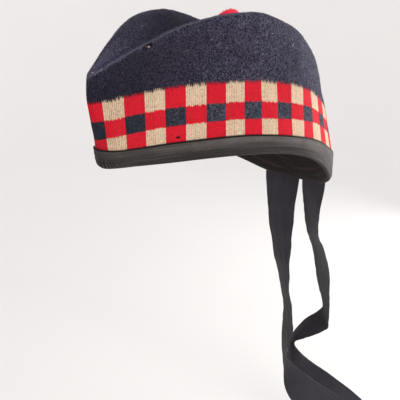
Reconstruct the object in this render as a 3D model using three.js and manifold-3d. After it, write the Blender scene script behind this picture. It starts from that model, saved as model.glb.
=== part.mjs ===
// A glengarry: a knitted wool side cap with a creased crown, a diced band, a ribbon binding
// round its rim, a red toorie in the crease and two ribbon tails at the back.
// Millimetres, +Z up. The front fold points to -Y and the wearer's left is +X.
// The origin is the middle of the head opening, 5 mm below the rim at the front fold.
import * as THREE from 'three';
import { mergeVertices } from 'three/addons/utils/BufferGeometryUtils.js';
import Module from 'manifold-3d';

const wasm = await Module();
wasm.setup();

// Driving sizes
const knitThickness = 2.2;
const pieceGap = 0.3;
const wallHeight = 51.4;
const bindingHeight = 14;
const bindingInnerHeight = 17;
const bindingThickness = 1;
const bandFoot = 2;
const bandMiddle = 8;
const tailThickness = 1;
const foldMitre = 1.8;
const columnsPerSection = 3;
const weldTolerance = 1e-3;
const minimumArea = 1e-7;

// One row for each cross-section, from the front fold to the middle of the back.
// rim: lower edge of the binding. hem: lower edge of the dicing that shows above the binding.
// top: upper edge of the dicing. ridge: highest line of the crown. crease: valley between the
// two ridges. Each half of the cap mirrors the other.
const sectionFields = [
  'rimX', 'rimY', 'rimZ', 'hemX', 'hemY', 'hemZ', 'panelY', 'topX', 'topZ', 'ridgeX', 'ridgeZ', 'creaseZ',
];
const sections = [
  [0, -113.1, 4.9, 0, -118.1, 19, -126, 0, 49.4, 0, 66.9, 68],
  [8.7, -110.4, 6.2, 9.2, -112.9, 18.9, -114, 4.7, 50.9, 7.6, 75.5, 70],
  [14.8, -96.2, 7.2, 13.3, -95.7, 19.5, -95, 8, 54.4, 17.7, 88.3, 73],
  [24.6, -76.2, 8.9, 23.1, -75.1, 22.6, -73, 17.4, 59.3, 28.5, 100.2, 76],
  [38.6, -54.1, 12.1, 37.4, -52.6, 26.2, -50, 31.7, 63.3, 39.5, 108.4, 78],
  [52.5, -31.5, 14.8, 51.3, -30.2, 29.1, -28.5, 45.7, 66, 44.9, 111.3, 79],
  [63.3, -6.3, 15.1, 61, -5.9, 28.8, -4.5, 54.3, 65.5, 47.7, 110.2, 79],
  [69.2, 20.5, 11.6, 65.9, 20.3, 25.8, 20.5, 59.6, 62.5, 46, 104.3, 78],
  [68.6, 46.7, 2.2, 65.1, 46.4, 20, 45, 57.4, 55.9, 40.4, 94, 75],
  [63.6, 72.1, -12.6, 59.2, 71.2, 11.3, 68.5, 51.5, 45.7, 27.5, 85.7, 70],
  [50.3, 95.8, -23.8, 49.2, 95.6, 1.9, 89.5, 40.8, 36.6, 14.9, 73, 63],
  [29.5, 113.6, -34, 29.4, 113.4, -9, 105.5, 23.1, 29, 8.5, 62.8, 56.5],
  [0, 122.4, -36.5, 0, 122, -15.6, 113, 0, 24.5, 0, 52, 52],
].map((row) => Object.fromEntries(row.map((value, index) => [sectionFields[index], value])));

// Crown profile handles, as lengths of its Bezier tangents
const sideRise = 0.42;
const ridgeHalfWidth = 13;
const creaseRise = 0.3;
const creaseDrop = 1.5;
const sideSteps = 8;
const valleySteps = 6;

const colours = { navy: 0x1d1b26, dicing: 0xd0263a, binding: 0x3b3838, toorie: 0xc81430, tail: 0x333133 };

// A closed loop through the sections: the left half, then the mirrored right half back to the front.
function loopThrough(pointOf) {
  const left = sections.map((section) => pointOf(section));
  const mirrored = (point) => new THREE.Vector3(-point.x, point.y, point.z);
  const right = left.slice(1, -1).reverse().map(mirrored);
  return new THREE.CatmullRomCurve3([...left, ...right], true, 'centripetal');
}

const rimLoop = loopThrough((s) => new THREE.Vector3(s.rimX, s.rimY, s.rimZ));
const hemLoop = loopThrough((s) => new THREE.Vector3(s.hemX, s.hemY, s.hemZ));
const topLoop = loopThrough((s) => new THREE.Vector3(s.topX, s.panelY, s.topZ));
const ridgeLoop = loopThrough((s) => new THREE.Vector3(s.ridgeX, s.panelY, s.ridgeZ));
const creaseLoop = loopThrough((s) => new THREE.Vector3(0, s.panelY, s.creaseZ));

const sectionSpans = 2 * (sections.length - 1);
const columnCount = sectionSpans * columnsPerSection;
const columns = Array.from({ length: columnCount }, (_, index) => index / columnCount);

// Plan direction that points out of the cap at a place u on a loop
function outwardAt(loop, u) {
  const step = 0.002;
  const tangent = loop.getPoint((u + step) % 1).sub(loop.getPoint((u - step + 1) % 1));
  return new THREE.Vector3(tangent.y, -tangent.x, 0).normalize();
}

// Moves a loop point by offset along its outward direction. Going inward, it never crosses the
// middle plane of the cap, and the layers at the front fold are mitred.
function offsetPoint(point, outward, offset) {
  if (offset >= 0) {
    return point.clone().addScaledVector(outward, offset);
  }
  const inset = -offset;
  const width = Math.abs(point.x);
  const side = Math.sign(point.x);
  const keptWidth = width > 0 ? (width * width) / (width + inset * Math.abs(outward.x)) : 0;
  const mitre = outward.y < 0 ? foldMitre : 1;
  return new THREE.Vector3(side * keptWidth, point.y - inset * mitre * outward.y, point.z);
}

// Point of the wall: straight from the rim to the hem, then straight from the hem to the top.
// height is measured from the rim up the wall.
function wallPoint(u, height, offset) {
  const below = height < bindingHeight;
  const lower = below ? rimLoop : hemLoop;
  const upper = below ? hemLoop : topLoop;
  const share = below ? height / bindingHeight : (height - bindingHeight) / (wallHeight - bindingHeight);
  const outward = outwardAt(lower, u).lerp(outwardAt(upper, u), share).normalize();
  return offsetPoint(lower.getPoint(u).lerp(upper.getPoint(u), share), outward, offset);
}

function bezierPoint(a, b, c, d, t) {
  return new THREE.CubicBezierCurve3(a, b, c, d).getPoint(t);
}

// Points of one crown profile, from the top of the dicing over the ridge down to the crease
function crownProfile(u, inset) {
  const top = offsetPoint(topLoop.getPoint(u), outwardAt(topLoop, u), -inset);
  const ridge = offsetPoint(ridgeLoop.getPoint(u), outwardAt(topLoop, u), -inset);
  const crease = creaseLoop.getPoint(u);
  const start = wallPoint(u, wallHeight + pieceGap, -inset);
  ridge.z -= inset;
  crease.z -= inset * creaseDrop;
  crease.x = 0;
  crease.y = ridge.y;
  const wallUp = top.clone().sub(wallPoint(u, bindingHeight, -inset)).normalize();
  const rise = sideRise * start.distanceTo(ridge);
  const shoulder = Math.min(ridgeHalfWidth, Math.abs(ridge.x) / 2) * Math.sign(ridge.x);
  const sideHandle = start.clone().addScaledVector(wallUp, rise);
  const outerHandle = ridge.clone().add(new THREE.Vector3(shoulder, 0, 0));
  const innerHandle = ridge.clone().sub(new THREE.Vector3(shoulder, 0, 0));
  const creaseHandle = crease.clone();
  creaseHandle.z += creaseRise * (ridge.z - crease.z);
  const points = [];
  for (let step = 0; step < sideSteps; step += 1) {
    points.push(bezierPoint(start, sideHandle, outerHandle, ridge, step / sideSteps));
  }
  for (let step = 0; step <= valleySteps; step += 1) {
    points.push(bezierPoint(ridge, innerHandle, creaseHandle, crease, step / valleySteps));
  }
  return points;
}

// A closed body from rows of points. Each row runs round the cap; wrapRows joins the last row
// to the first. Points that coincide are welded and the slivers between them dropped. Facing
// walls of two layers share their diagonals when one of the two is crossed.
function gridBody(rows, wrapColumns, wrapRows, crossed = false) {
  const positions = [];
  const rowTotal = wrapRows ? rows.length : rows.length - 1;
  const columnTotal = wrapColumns ? rows[0].length : rows[0].length - 1;
  for (let row = 0; row < rowTotal; row += 1) {
    for (let column = 0; column < columnTotal; column += 1) {
      const nextRow = rows[(row + 1) % rows.length];
      const nextColumn = (column + 1) % rows[0].length;
      const [a, b] = [rows[row][column], rows[row][nextColumn]];
      const [c, d] = [nextRow[nextColumn], nextRow[column]];
      positions.push(...(crossed ? [a, b, d, b, c, d] : [a, b, c, a, c, d]));
    }
  }
  return weld(positions);
}

function weld(corners) {
  const soup = new THREE.BufferGeometry().setFromPoints(corners);
  const merged = mergeVertices(soup, weldTolerance);
  const place = merged.getAttribute('position');
  const kept = [];
  const triangle = new THREE.Triangle();
  for (let first = 0; first < merged.index.count; first += 3) {
    const ids = [0, 1, 2].map((corner) => merged.index.getX(first + corner));
    triangle.setFromAttributeAndIndices(place, ...ids);
    const distinct = new Set(ids).size === ids.length;
    if (distinct && triangle.getArea() > minimumArea) {
      kept.push(...ids);
    }
  }
  merged.setIndex(kept);
  return merged;
}

function named(name, geometry, colour, roughness) {
  geometry.computeVertexNormals();
  const material = new THREE.MeshStandardMaterial({ color: colour, roughness, metalness: 0 });
  const mesh = new THREE.Mesh(geometry, material);
  mesh.name = name;
  return mesh;
}

function solidFrom(geometry) {
  const vertProperties = new Float32Array(geometry.getAttribute('position').array);
  const triVerts = new Uint32Array(geometry.index.array);
  return new wasm.Manifold(new wasm.Mesh({ numProp: 3, vertProperties, triVerts }));
}

function geometryFrom(solid) {
  const mesh = solid.getMesh();
  const geometry = new THREE.BufferGeometry();
  geometry.setAttribute('position', new THREE.BufferAttribute(new Float32Array(mesh.vertProperties), 3));
  geometry.setIndex(Array.from(mesh.triVerts));
  return geometry;
}

// Crown: one knitted shell, with a moth hole beside the left ridge
const mothHole = { diameter: 3.6, sides: 8, depth: 7, column: 0.0845, step: 7 };

function makeCrown() {
  const outer = columns.map((u) => crownProfile(u, 0));
  const inner = columns.map((u) => crownProfile(u, knitThickness));
  const rows = [];
  const last = outer[0].length - 1;
  for (let row = last; row >= 0; row -= 1) {
    rows.push(inner.map((profile) => profile[row]));
  }
  for (let row = 0; row <= last; row += 1) {
    rows.push(outer.map((profile) => profile[row]));
  }
  return gridBody(rows, true, false);
}

function cutMothHole(crown) {
  const profile = crownProfile(mothHole.column, 0);
  const inside = crownProfile(mothHole.column, knitThickness);
  const place = profile[mothHole.step];
  const direction = place.clone().sub(inside[mothHole.step]).normalize();
  const radius = mothHole.diameter / 2;
  const drill = new THREE.CylinderGeometry(radius, radius, mothHole.depth, mothHole.sides);
  const turn = new THREE.Quaternion().setFromUnitVectors(new THREE.Vector3(0, 1, 0), direction);
  drill.applyQuaternion(turn);
  drill.translate(place.x, place.y, place.z);
  drill.deleteAttribute('normal');
  drill.deleteAttribute('uv');
  return geometryFrom(solidFrom(crown).subtract(solidFrom(mergeVertices(drill, weldTolerance))));
}

// Diced band: three rows of knitted squares, one closed wall tucked into the binding
function makeBand() {
  const diceRow = (wallHeight - bindingHeight) / 3;
  const diceLines = [0, 1, 2, 3].map((row) => bindingHeight + row * diceRow);
  const heights = [bandFoot, bandMiddle, ...diceLines];
  const outer = heights.map((height) => columns.map((u) => wallPoint(u, height, 0)));
  const inner = heights.map((height) => columns.map((u) => wallPoint(u, height, -knitThickness)));
  return gridBody([...outer, ...inner.reverse()], true, true);
}

// Binding: ribbon folded lengthwise over the lower edge of the band. Each corner of its
// section is an offset from the outside of the wall and a height up the wall.
function makeBinding() {
  const outside = pieceGap + bindingThickness;
  const inside = -(knitThickness + pieceGap + bindingThickness);
  const middle = (outside + inside) / 2;
  const section = [
    { offset: outside, height: bindingHeight },
    { offset: pieceGap, height: bindingHeight },
    { offset: pieceGap, height: bandMiddle },
    { offset: pieceGap, height: bandFoot - pieceGap },
    { offset: inside + bindingThickness, height: bandFoot - pieceGap },
    { offset: inside + bindingThickness, height: bandMiddle },
    { offset: inside + bindingThickness, height: bindingHeight },
    { offset: inside + bindingThickness, height: bindingInnerHeight },
    { offset: inside, height: bindingInnerHeight },
    { offset: inside, height: bindingHeight },
    { offset: inside, height: 1.5 },
    { offset: middle - 1, height: 0 },
    { offset: middle + 1, height: 0 },
    { offset: outside, height: 1.5 },
  ];
  const rows = section.map((corner) => columns.map((u) => wallPoint(u, corner.height, corner.offset)));
  return gridBody(rows, true, true, true);
}

// Toorie: a head of wool with rounded locks standing out all over it
const toorie = { width: 26, height: 28, y: 5.5, bottomZ: 86.4 };
const locks = { count: 70, height: 1.8, spread: 0.2 };
const toorieSides = 38;
const toorieRings = 22;

function lockDirections() {
  const goldenAngle = Math.PI * (3 - Math.sqrt(5));
  return Array.from({ length: locks.count }, (_, index) => {
    const z = 1 - (2 * (index + 0.5)) / locks.count;
    const radius = Math.sqrt(1 - z * z);
    const turn = goldenAngle * index;
    return new THREE.Vector3(radius * Math.cos(turn), radius * Math.sin(turn), z);
  });
}

function makeToorie() {
  const directions = lockDirections();
  const sphere = new THREE.SphereGeometry(1, toorieSides, toorieRings);
  sphere.deleteAttribute('normal');
  sphere.deleteAttribute('uv');
  const head = mergeVertices(sphere, weldTolerance);
  const place = head.getAttribute('position');
  const point = new THREE.Vector3();
  for (let index = 0; index < place.count; index += 1) {
    point.fromBufferAttribute(place, index).normalize();
    const nearest = Math.min(...directions.map((direction) => point.angleTo(direction)));
    const groove = locks.height * Math.min(1, (nearest / locks.spread) ** 2);
    const across = toorie.width / 2 - groove;
    const up = toorie.height / 2 - groove;
    place.setXYZ(
      index,
      point.x * across,
      point.y * across + toorie.y,
      point.z * up + toorie.bottomZ + toorie.height / 2,
    );
  }
  return head;
}

// Tails: the two free ends of the ribbon, sewn behind the binding on either side of the back
// seam. Each row gives the left and right edge at one bend, fold or free end, from the top.
const outerTail = [
  { left: [1.8, 126.9, -19], right: [34.5, 114.7, -19] },
  { left: [1.8, 127.3, -38], right: [34.7, 115.7, -38] },
  { left: [1.3, 136, -66.6], right: [33.1, 115.3, -65.4] },
  { left: [5.1, 140.7, -91.4], right: [34.6, 117.4, -85.8] },
  { left: [11.5, 148, -112.2], right: [38.1, 123.9, -99.7] },
  { left: [13.8, 151.5, -132.7], right: [42.8, 129.5, -122] },
  { left: [18.8, 156.3, -156.6], right: [46, 131.4, -147.5] },
  { left: [22, 161.7, -174.8], right: [47, 134.2, -167] },
  { left: [22.4, 163.6, -181.3], right: [47.6, 135.3, -178.5] },
  { left: [20.4, 163, -185.3], right: [47.4, 136.3, -187.3] },
  { left: [16.6, 160.1, -190.2], right: [42.9, 132.8, -192.3] },
  { left: [8.7, 155.1, -198.1], right: [34.2, 126.9, -197.9] },
  { left: [2.5, 151.8, -208.9], right: [26.8, 123.2, -202.9] },
  { left: [-2.6, 149.6, -219.8], right: [21, 122.2, -208.1] },
  { left: [-4.8, 147.5, -233.3], right: [17.4, 124, -213.5] },
  { left: [-4.4, 146.5, -246.9], right: [16, 128.7, -220.2] },
  { left: [-0.5, 145.3, -265.2], right: [17, 139.3, -232] },
  { left: [9.6, 149.3, -285.3], right: [21, 160.4, -250.8] },
  { left: [24.8, 161.4, -297.4], right: [36.6, 173.5, -263.4] },
  { left: [43.1, 176.2, -313.8], right: [53.3, 189.4, -279.7] },
  { left: [69, 199.6, -343.5], right: [77, 216.1, -310.2] },
];
const innerTail = [
  { left: [-34.5, 114.7, -19], right: [-1.8, 126.9, -19] },
  { left: [-34.7, 115.7, -38], right: [-1.8, 127.3, -38] },
  { left: [-38, 127.6, -70], right: [-0.6, 122.8, -65.7] },
  { left: [-33.1, 132.6, -110.1], right: [2.3, 119.3, -105.9] },
  { left: [-24.2, 137.4, -145.7], right: [6, 115.7, -138] },
  { left: [-12.8, 139.4, -180.4], right: [12.1, 115.2, -164.8] },
  { left: [-9.2, 137.3, -200.2], right: [17.4, 115.8, -183.5] },
  { left: [-6.4, 134.5, -216.4], right: [19.4, 115.1, -196.3] },
  { left: [-2.5, 132.8, -229], right: [19.1, 109.8, -207.9] },
  { left: [1.4, 130.4, -240], right: [21, 106.4, -218] },
  { left: [6.4, 127.1, -252.4], right: [25.1, 108.3, -225.1] },
  { left: [12.9, 122.2, -264.6], right: [36.8, 116.1, -235.7] },
  { left: [22.9, 119.6, -276.2], right: [46.4, 128.2, -247.6] },
  { left: [37.1, 124, -287.4], right: [55.3, 146.8, -263.1] },
  { left: [55.5, 137.8, -302.9], right: [73, 159.4, -276.9] },
];
const tailSteps = 48;
const tailStrips = 4;

// A ribbon of even thickness between two edge curves
function makeTail(rows) {
  const leftEdge = new THREE.CatmullRomCurve3(rows.map((row) => new THREE.Vector3(...row.left)));
  const rightEdge = new THREE.CatmullRomCurve3(rows.map((row) => new THREE.Vector3(...row.right)));
  const middleOf = (t) => leftEdge.getPoint(t).lerp(rightEdge.getPoint(t), 0.5);
  const loops = [];
  for (let step = 0; step <= tailSteps; step += 1) {
    const t = step / tailSteps;
    const left = leftEdge.getPoint(t);
    const right = rightEdge.getPoint(t);
    const along = middleOf(Math.min(1, t + 0.01)).sub(middleOf(Math.max(0, t - 0.01)));
    const face = right.clone().sub(left).cross(along).setLength(tailThickness / 2);
    const across = Array.from({ length: tailStrips + 1 }, (_, i) => i / tailStrips);
    const strip = across.map((share) => left.clone().lerp(right, share));
    const front = strip.map((point) => point.clone().add(face));
    const back = strip.map((point) => point.clone().sub(face));
    loops.push([...front, ...back.reverse()]);
  }
  return closeEnds(loops);
}

// Rings of equal length become a tube whose first and last rings are filled flat.
function closeEnds(loops) {
  const centreRing = (ring) => {
    const centre = new THREE.Vector3();
    ring.forEach((point) => centre.addScaledVector(point, 1 / ring.length));
    return ring.map(() => centre);
  };
  const first = centreRing(loops[0]);
  const last = centreRing(loops[loops.length - 1]);
  return gridBody([first, ...loops, last], true, false);
}

const cap = new THREE.Group();
cap.name = 'glengarry';
cap.add(named('crown', cutMothHole(makeCrown()), colours.navy, 0.95));
cap.add(named('diced_band', makeBand(), colours.dicing, 0.95));
cap.add(named('rim_binding', makeBinding(), colours.binding, 0.8));
cap.add(named('toorie', makeToorie(), colours.toorie, 1));
cap.add(named('outer_tail', makeTail(outerTail), colours.tail, 0.7));
cap.add(named('inner_tail', makeTail(innerTail), colours.tail, 0.7));

export default cap;
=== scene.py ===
"""A worn glengarry: creased navy knit crown, diced band, ribbon binding, red toorie, two tails.

Sizes are in millimetres here and become metres when a mesh is made. The front fold points to -Y
and the wearer's left is +X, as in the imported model.
"""
import math

import bmesh
import bpy
import numpy as np
from mathutils import Matrix, Vector
from numpy.linalg import norm


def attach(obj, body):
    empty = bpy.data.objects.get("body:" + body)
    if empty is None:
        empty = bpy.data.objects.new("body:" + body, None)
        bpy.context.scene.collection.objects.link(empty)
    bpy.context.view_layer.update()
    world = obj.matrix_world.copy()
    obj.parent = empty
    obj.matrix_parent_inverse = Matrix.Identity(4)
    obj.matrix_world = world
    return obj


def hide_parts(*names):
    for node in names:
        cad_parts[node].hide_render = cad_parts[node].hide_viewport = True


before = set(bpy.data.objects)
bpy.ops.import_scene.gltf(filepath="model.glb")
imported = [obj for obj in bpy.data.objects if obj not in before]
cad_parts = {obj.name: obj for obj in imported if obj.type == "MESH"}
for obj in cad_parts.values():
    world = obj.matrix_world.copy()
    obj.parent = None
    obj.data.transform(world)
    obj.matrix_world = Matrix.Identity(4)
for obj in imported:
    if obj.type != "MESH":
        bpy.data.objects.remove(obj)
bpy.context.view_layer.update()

MM = 0.001
SEED = 1866
rng = np.random.default_rng(SEED)
scene = bpy.context.scene

# Driving sizes, the same as the solids have: the knit's thickness, the wall's and the binding's
# height, how much more the front is inset than the sides, and a tail's width
KNIT = 2.2
WALL = 51.4
BINDING_TOP = 14.0
FOLD_MITRE = 1.8
TAIL_WIDTH = 38.0

# Dicing: a square's mean width, wales in it, squares round, and how far the fold is into its square
SQUARE = 14.0
WALES_PER_SQUARE = 11
SQUARES_ROUND = 42
FIRST_SQUARE = 0.345

# Sections from the front fold to the back, left side: rim x y z, hem x y z, y of the panel above the
# hem, top x z, ridge x z, crease z
SECTIONS = np.array([
    (0, -113.1, 4.9, 0, -118.1, 19, -126, 0, 49.4, 0, 66.9, 68),
    (8.7, -110.4, 6.2, 9.2, -112.9, 18.9, -114, 4.7, 50.9, 7.6, 75.5, 70),
    (14.8, -96.2, 7.2, 13.3, -95.7, 19.5, -95, 8, 54.4, 17.7, 88.3, 73),
    (24.6, -76.2, 8.9, 23.1, -75.1, 22.6, -73, 17.4, 59.3, 28.5, 100.2, 76),
    (38.6, -54.1, 12.1, 37.4, -52.6, 26.2, -50, 31.7, 63.3, 39.5, 108.4, 78),
    (52.5, -31.5, 14.8, 51.3, -30.2, 29.1, -28.5, 45.7, 66, 44.9, 111.3, 79),
    (63.3, -6.3, 15.1, 61, -5.9, 28.8, -4.5, 54.3, 65.5, 47.7, 110.2, 79),
    (69.2, 20.5, 11.6, 65.9, 20.3, 25.8, 20.5, 59.6, 62.5, 46, 104.3, 78),
    (68.6, 46.7, 2.2, 65.1, 46.4, 20, 45, 57.4, 55.9, 40.4, 94, 75),
    (63.6, 72.1, -12.6, 59.2, 71.2, 11.3, 68.5, 51.5, 45.7, 27.5, 85.7, 70),
    (50.3, 95.8, -23.8, 49.2, 95.6, 1.9, 89.5, 40.8, 36.6, 14.9, 73, 63),
    (29.5, 113.6, -34, 29.4, 113.4, -9, 105.5, 23.1, 29, 8.5, 62.8, 56.5),
    (0, 122.4, -36.5, 0, 122, -15.6, 113, 0, 24.5, 0, 52, 52),
], float)
RIM_X, RIM_Y, RIM_Z, HEM_X, HEM_Y, HEM_Z, PANEL_Y, TOP_X, TOP_Z, RIDGE_X, RIDGE_Z, CREASE_Z = SECTIONS.T

# Crown profile handles
SIDE_RISE = 0.42
RIDGE_HALF_WIDTH = 13.0
CREASE_RISE = 0.3
CREASE_DROP = 1.5

# Tails: left edge x y z and right edge x y z at each bend, from the seam down
OUTER_TAIL = [
    (1.8, 126.9, -19, 34.5, 114.7, -19),
    (1.8, 127.3, -38, 34.7, 115.7, -38),
    (1.3, 136, -66.6, 33.1, 115.3, -65.4),
    (5.1, 140.7, -91.4, 34.6, 117.4, -85.8),
    (11.5, 148, -112.2, 38.1, 123.9, -99.7),
    (13.8, 151.5, -132.7, 42.8, 129.5, -122),
    (18.8, 156.3, -156.6, 46, 131.4, -147.5),
    (22, 161.7, -174.8, 47, 134.2, -167),
    (22.4, 163.6, -181.3, 47.6, 135.3, -178.5),
    (20.4, 163, -185.3, 47.4, 136.3, -187.3),
    (16.6, 160.1, -190.2, 42.9, 132.8, -192.3),
    (8.7, 155.1, -198.1, 34.2, 126.9, -197.9),
    (2.5, 151.8, -208.9, 26.8, 123.2, -202.9),
    (-2.6, 149.6, -219.8, 21, 122.2, -208.1),
    (-4.8, 147.5, -233.3, 17.4, 124, -213.5),
    (-4.4, 146.5, -246.9, 16, 128.7, -220.2),
    (-0.5, 145.3, -265.2, 17, 139.3, -232),
    (9.6, 149.3, -285.3, 21, 160.4, -250.8),
    (24.8, 161.4, -297.4, 36.6, 173.5, -263.4),
    (43.1, 176.2, -313.8, 53.3, 189.4, -279.7),
    (69, 199.6, -343.5, 77, 216.1, -310.2),
]
INNER_TAIL = [
    (-34.5, 114.7, -19, -1.8, 126.9, -19),
    (-34.7, 115.7, -38, -1.8, 127.3, -38),
    (-38, 127.6, -70, -0.6, 122.8, -65.7),
    (-33.1, 132.6, -110.1, 2.3, 119.3, -105.9),
    (-24.2, 137.4, -145.7, 6, 115.7, -138),
    (-12.8, 139.4, -180.4, 12.1, 115.2, -164.8),
    (-9.2, 137.3, -200.2, 17.4, 115.8, -183.5),
    (-6.4, 134.5, -216.4, 19.4, 115.1, -196.3),
    (-2.5, 132.8, -229, 19.1, 109.8, -207.9),
    (1.4, 130.4, -240, 21, 106.4, -218),
    (6.4, 127.1, -252.4, 25.1, 108.3, -225.1),
    (12.9, 122.2, -264.6, 36.8, 116.1, -235.7),
    (22.9, 119.6, -276.2, 46.4, 128.2, -247.6),
    (37.1, 124, -287.4, 55.3, 146.8, -263.1),
    (55.5, 137.8, -302.9, 73, 159.4, -276.9),
]


# ---- curves and surfaces

def catmull(points, closed, t):
    """Centripetal Catmull-Rom curve through points, at parameters t from 0 to 1."""
    points = np.asarray(points, float)
    t = np.asarray(t, float)
    count = len(points)
    if closed:
        place = (t % 1.0) * count
        index = np.floor(place).astype(int)
        four = [points[(index + step) % count] for step in (-1, 0, 1, 2)]
    else:
        ends = [2 * points[0] - points[1]], [2 * points[-1] - points[-2]]
        longer = np.vstack([ends[0], points, ends[1]])
        place = np.clip(t, 0, 1) * (count - 1)
        index = np.minimum(np.floor(place).astype(int), count - 2)
        four = [longer[index + step] for step in (0, 1, 2, 3)]
    weight = (place - index)[..., None]
    spans = [np.sqrt(norm(b - a, axis=-1))[..., None] for a, b in zip(four, four[1:])]
    middle = np.where(spans[1] < 1e-4, 1.0, spans[1])
    before = np.where(spans[0] < 1e-4, middle, spans[0])
    after = np.where(spans[2] < 1e-4, middle, spans[2])
    a, b, c, d = four
    start = ((b - a) / before - (c - a) / (before + middle) + (c - b) / middle) * middle
    end = ((c - b) / middle - (d - b) / (middle + after) + (d - c) / after) * middle
    return (
        b
        + start * weight
        + (3 * (c - b) - 2 * start - end) * weight ** 2
        + (2 * (b - c) + start + end) * weight ** 3
    )


def loop_points(x, y, z):
    """A closed loop from one value a section: the left half, then the mirrored right."""
    left = np.stack([x, y, z], -1)
    right = left[1:-1][::-1] * (-1, 1, 1)
    return np.vstack([left, right])


RIM = loop_points(RIM_X, RIM_Y, RIM_Z)
HEM = loop_points(HEM_X, HEM_Y, HEM_Z)
TOP = loop_points(TOP_X, PANEL_Y, TOP_Z)
RIDGE = loop_points(RIDGE_X, PANEL_Y, RIDGE_Z)
CREASE = loop_points(np.zeros_like(PANEL_Y), PANEL_Y, CREASE_Z)


def ramp(value, start, length):
    """0 up to start, 1 past start + length, and straight between."""
    return np.clip((value - start) / length, 0, 1)


def bell(value, middle, reach):
    return np.exp(-((value - middle) / reach) ** 2)


def unit(vectors):
    return vectors / np.maximum(norm(vectors, axis=-1, keepdims=True), 1e-9)


def walked(points):
    """Distance along rows of points, from the first."""
    steps = norm(np.diff(points, axis=0), axis=-1)
    return np.concatenate([np.zeros_like(steps[:1]), np.cumsum(steps, axis=0)])


def outward(loop, u):
    """Level unit normals of a loop, away from its middle."""
    step = 0.002
    tangent = catmull(loop, True, u + step) - catmull(loop, True, u - step)
    return unit(np.stack([tangent[..., 1], -tangent[..., 0], 0 * tangent[..., 0]], -1))


def shifted(points, normal, offset):
    """points moved by offset along the outward normal. Inward, they stay on their own side."""
    offset = np.broadcast_to(np.asarray(offset, float), points.shape[:-1])
    out = points + normal * offset[..., None]
    inset = np.maximum(-offset, 0)
    width = np.abs(points[..., 0])
    kept = width ** 2 / np.maximum(width + inset * np.abs(normal[..., 0]), 1e-9)
    mitre = np.where(normal[..., 1] < 0, FOLD_MITRE, 1.0)
    inner = np.stack([
        np.sign(points[..., 0]) * kept,
        points[..., 1] - inset * mitre * normal[..., 1],
        points[..., 2],
    ], -1)
    return np.where((offset < 0)[..., None], inner, out)


def wall(u, height, offset=0.0):
    """Point of the wall height mm up from the rim: straight to the hem, then straight to the top."""
    height = np.broadcast_to(np.asarray(height, float), np.shape(u))[..., None]
    low = height / BINDING_TOP
    high = (height - BINDING_TOP) / (WALL - BINDING_TOP)

    def blend(rim, hem, top):
        return np.where(low < 1, rim * (1 - low) + hem * low, hem * (1 - high) + top * high)

    point = blend(*(catmull(loop, True, u) for loop in (RIM, HEM, TOP)))
    normal = blend(*(outward(loop, u) for loop in (RIM, HEM, TOP)))
    return shifted(point, unit(normal), offset)


def bezier(a, b, c, d, t):
    """Cubic Bezier curve from a to d, at t from 0 to 1."""
    s = 1 - t
    return a * s ** 3 + 3 * b * s * s * t + 3 * c * s * t * t + d * t ** 3


def crown_rows(u, inset, start_height, side_steps, valley_steps):
    """Rows of the crown from the top of the dicing over the ridge to the crease."""
    normal = outward(TOP, u)
    top = shifted(catmull(TOP, True, u), normal, -inset)
    ridge = shifted(catmull(RIDGE, True, u), normal, -inset)
    crease = catmull(CREASE, True, u)
    start = wall(u, start_height, -inset)
    ridge[..., 2] -= inset
    crease[..., 2] -= inset * CREASE_DROP
    crease[..., 0] = 0
    crease[..., 1] = ridge[..., 1]
    up = unit(top - wall(u, BINDING_TOP, -inset))
    rise = SIDE_RISE * norm(ridge - start, axis=-1, keepdims=True)
    shoulder = np.zeros_like(ridge)
    shoulder[..., 0] = np.minimum(RIDGE_HALF_WIDTH, np.abs(ridge[..., 0]) / 2) * np.sign(ridge[..., 0])
    handle = crease.copy()
    handle[..., 2] += CREASE_RISE * (ridge[..., 2] - crease[..., 2])
    rows = [bezier(start, start + up * rise, ridge + shoulder, ridge, t) for t in side_steps]
    rows += [bezier(ridge, ridge - shoulder, handle, crease, t) for t in valley_steps]
    return np.array(rows)


NOISE_WAVES = 14


def smooth_noise(points, wavelength, seed):
    """Soft wrinkle field between about -1 and 1, the same wherever the point is the same."""
    local = np.random.default_rng(seed)
    total = np.zeros(points.shape[:-1])
    for _ in range(NOISE_WAVES):
        direction = local.normal(size=3)
        direction *= math.tau / (wavelength * local.uniform(0.7, 1.6) * norm(direction))
        total += np.sin(points @ direction + local.uniform(0, math.tau))
    return total / math.sqrt(NOISE_WAVES)


def wrinkled(points, wrinkles):
    """Sum of soft wrinkles, each with its height, wavelength and seed."""
    return sum(height * smooth_noise(points, wavelength, seed) for height, wavelength, seed in wrinkles)


# ---- meshes

def in_scene(name, data):
    thing = bpy.data.objects.new(name, data)
    scene.collection.objects.link(thing)
    return thing


def smooth_object(name, points, faces, material):
    """A smooth object in the scene, from points in millimetres and a list of faces."""
    mesh = bpy.data.meshes.new(name)
    mesh.from_pydata((points * MM).tolist(), [], faces)
    mesh.update()
    mesh.materials.append(material)
    for polygon in mesh.polygons:
        polygon.use_smooth = True
    return in_scene(name, mesh)


def field_object(name, points, faces, material, attribute, values, period=None):
    """An object that carries three values for each point, stored at its face corners.

    With a period, the first value goes round a loop, and no face has both ends of it.
    """
    thing = smooth_object(name, points.reshape(-1, 3), faces.tolist(), material)
    corners = values.reshape(-1, 3)[faces]
    if period:
        first = corners[..., 0]
        first[first - first.min(-1, keepdims=True) > period / 2] -= period
    layer = thing.data.attributes.new(attribute, "FLOAT_VECTOR", "CORNER")
    layer.data.foreach_set("vector", corners.astype(np.float32).reshape(-1))
    return thing


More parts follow.
